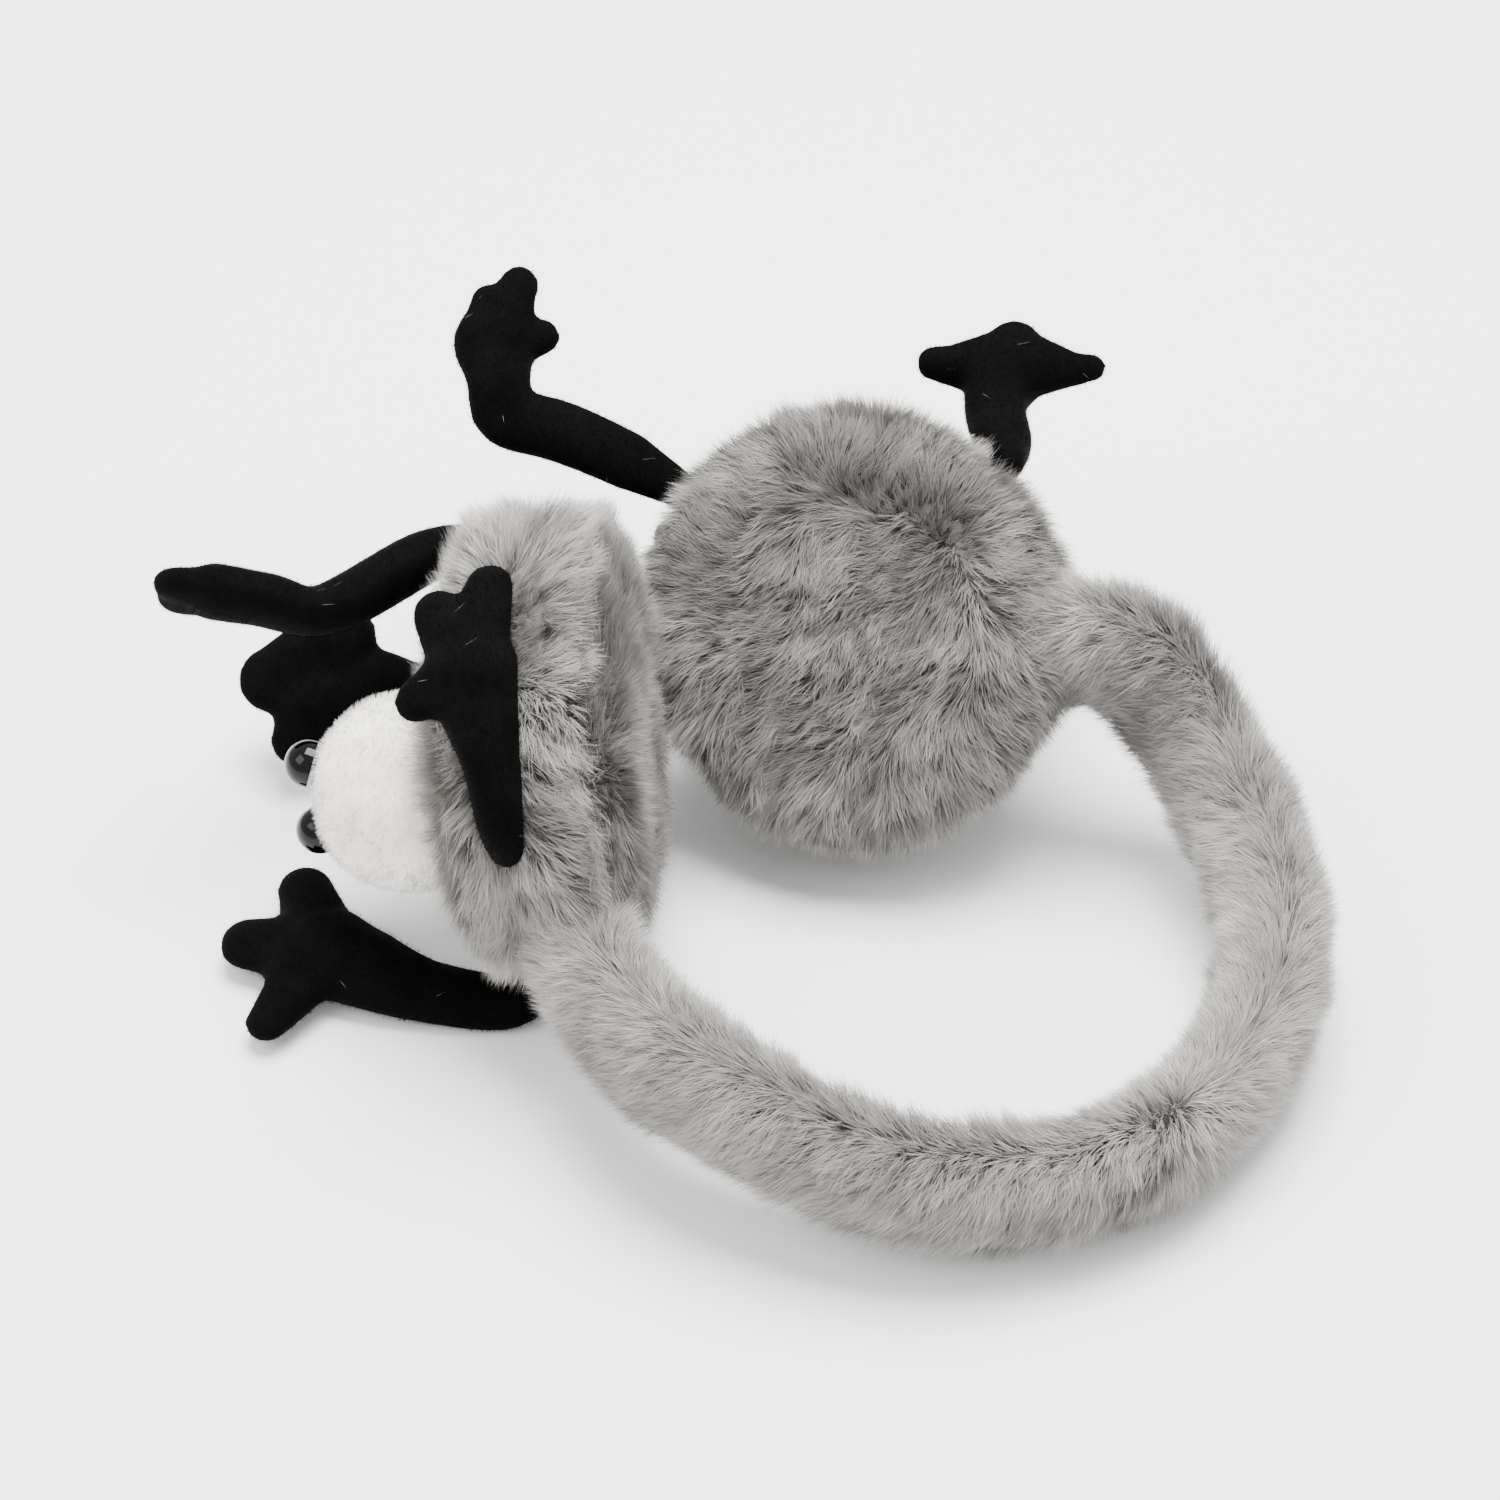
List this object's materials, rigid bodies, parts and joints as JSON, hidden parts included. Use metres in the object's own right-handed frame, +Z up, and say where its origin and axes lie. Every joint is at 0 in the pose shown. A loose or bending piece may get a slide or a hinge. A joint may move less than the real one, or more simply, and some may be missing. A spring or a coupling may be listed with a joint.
{
  "type": "plush animal earmuffs",
  "caption": "Furry C-shaped headband with a round plush animal on each end, worn over the ears; the limbs, pads and band move.",
  "frame": {"origin": "where the crown of the headband rests on the table", "axes": "+Z up off the table, +X along the table from the left pad towards the band's right side, +Y from the crown towards the pads"},
  "size_m": [0.2887, 0.2495, 0.1282],
  "materials": {
    "grey_fur": "long silky faux fur pile, matt with a soft sheen",
    "black_velboa": "short black velboa pile, slight sheen",
    "white_plush": "short white plush",
    "eye": "glossy black",
    "foam": "soft foam wadding",
    "filling": "polyester fibre filling",
    "steel": "blued spring steel",
    "plastic": "moulded nylon"
  },
  "bodies": {
    "crown": {"crown_fur_sleeve": "grey_fur", "crown_spring_strip": "steel", "crown_wadding": "foam"},
    "left_band_arm": {"left_arm_fur_sleeve": "grey_fur", "left_arm_spring_strip": "steel", "left_arm_wadding": "foam", "left_hinge_tab": "plastic"},
    "left_pad": {"left_backing_plate": "plastic", "left_body_cover": "grey_fur", "left_body_filling": "filling", "left_ear_cover": "grey_fur", "left_ear_filling": "filling", "left_head_cover": "white_plush", "left_head_filling": "filling", "left_hinge_pin": "steel", "left_lower_eye": "eye", "left_lower_eye_washer": "plastic", "left_upper_eye": "eye", "left_upper_eye_washer": "plastic"},
    "left_lower_arm": {"left_lower_arm": "black_velboa"},
    "left_lower_leg": {"left_lower_leg": "black_velboa"},
    "left_upper_arm": {"left_upper_arm": "black_velboa"},
    "left_upper_leg": {"left_upper_leg": "black_velboa"},
    "right_band_arm": {"right_arm_fur_sleeve": "grey_fur", "right_arm_spring_strip": "steel", "right_arm_wadding": "foam", "right_hinge_tab": "plastic"},
    "right_pad": {"right_backing_plate": "plastic", "right_body_cover": "grey_fur", "right_body_filling": "filling", "right_ear_cover": "grey_fur", "right_ear_filling": "filling", "right_head_cover": "white_plush", "right_head_filling": "filling", "right_hinge_pin": "steel", "right_lower_eye": "eye", "right_lower_eye_washer": "plastic", "right_upper_eye": "eye", "right_upper_eye_washer": "plastic"},
    "right_lower_arm": {"right_lower_arm": "black_velboa"},
    "right_lower_leg": {"right_lower_leg": "black_velboa"},
    "right_upper_arm": {"right_upper_arm": "black_velboa"},
    "right_upper_leg": {"right_upper_leg": "black_velboa"}
  },
  "joints": [
    {"name": "left_band_flex", "type": "hinge", "parent": "crown", "child": "left_band_arm", "pos_m": [-0.05171, -0.03215, 0.02034], "axis": [0.1629, -0.2011, 0.9659], "range_deg": [0, 10], "stiffness_Nm_per_rad": 1.2},
    {"name": "left_pad_tilt", "type": "hinge", "parent": "left_band_arm", "child": "left_pad", "pos_m": [-0.14204, 0.05151, 0.04316], "axis": [0.1212, 0.3371, -0.9337], "range_deg": [-8, 0], "stiffness_Nm_per_rad": 0.4},
    {"name": "right_band_flex", "type": "hinge", "parent": "crown", "child": "right_band_arm", "pos_m": [0.0422, 0.0439, 0.02034], "axis": [-0.1629, 0.2011, -0.9659], "range_deg": [0, 10], "stiffness_Nm_per_rad": 1.2},
    {"name": "right_pad_tilt", "type": "hinge", "parent": "right_band_arm", "child": "right_pad", "pos_m": [-0.02691, 0.12837, 0.05931], "axis": [0.0467, 0.5661, 0.823], "range_deg": [-8, 0], "stiffness_Nm_per_rad": 0.4},
    {"name": "left_upper_arm_swing", "type": "hinge", "parent": "left_pad", "child": "left_upper_arm", "pos_m": [-0.15181, 0.03517, 0.06953], "axis": [0.9926, -0.0433, 0.1132], "range_deg": [0, 45], "stiffness_Nm_per_rad": 0.05},
    {"name": "left_lower_arm_swing", "type": "hinge", "parent": "left_pad", "child": "left_lower_arm", "pos_m": [-0.14422, 0.05628, 0.01106], "axis": [0, 0, 1], "range_deg": [0, 20], "stiffness_Nm_per_rad": 0.05},
    {"name": "left_upper_leg_swing", "type": "hinge", "parent": "left_pad", "child": "left_upper_leg", "pos_m": [-0.14707, 0.14374, 0.06953], "axis": [-0.0023, -0.9405, -0.3398], "range_deg": [-20, 20], "stiffness_Nm_per_rad": 0.05},
    {"name": "left_lower_leg_swing", "type": "hinge", "parent": "left_pad", "child": "left_lower_leg", "pos_m": [-0.14344, 0.14187, 0.03704], "axis": [0, 0, 1], "range_deg": [-20, 0], "stiffness_Nm_per_rad": 0.05},
    {"name": "right_upper_arm_swing", "type": "hinge", "parent": "right_pad", "child": "right_upper_arm", "pos_m": [-0.02593, 0.15668, 0.08954], "axis": [-0.6912, 0.4916, 0.5297], "range_deg": [-40, 0], "stiffness_Nm_per_rad": 0.05},
    {"name": "right_lower_arm_swing", "type": "hinge", "parent": "right_pad", "child": "right_lower_arm", "pos_m": [-0.02358, 0.11312, 0.02772], "axis": [0, 0, 1], "range_deg": [-20, 0], "stiffness_Nm_per_rad": 0.05},
    {"name": "right_upper_leg_swing", "type": "hinge", "parent": "right_pad", "child": "right_upper_leg", "pos_m": [-0.11275, 0.16144, 0.07442], "axis": [-0.1431, -0.8116, 0.5664], "range_deg": [-12, 12], "stiffness_Nm_per_rad": 0.05},
    {"name": "right_lower_leg_swing", "type": "hinge", "parent": "right_pad", "child": "right_lower_leg", "pos_m": [-0.1144, 0.1296, 0.02838], "axis": [0, 0, 1], "range_deg": [0, 20], "stiffness_Nm_per_rad": 0.05}
  ],
  "couplings": [
    {"joint": "right_band_flex", "follows": "left_band_flex", "ratio": 1}
  ]
}
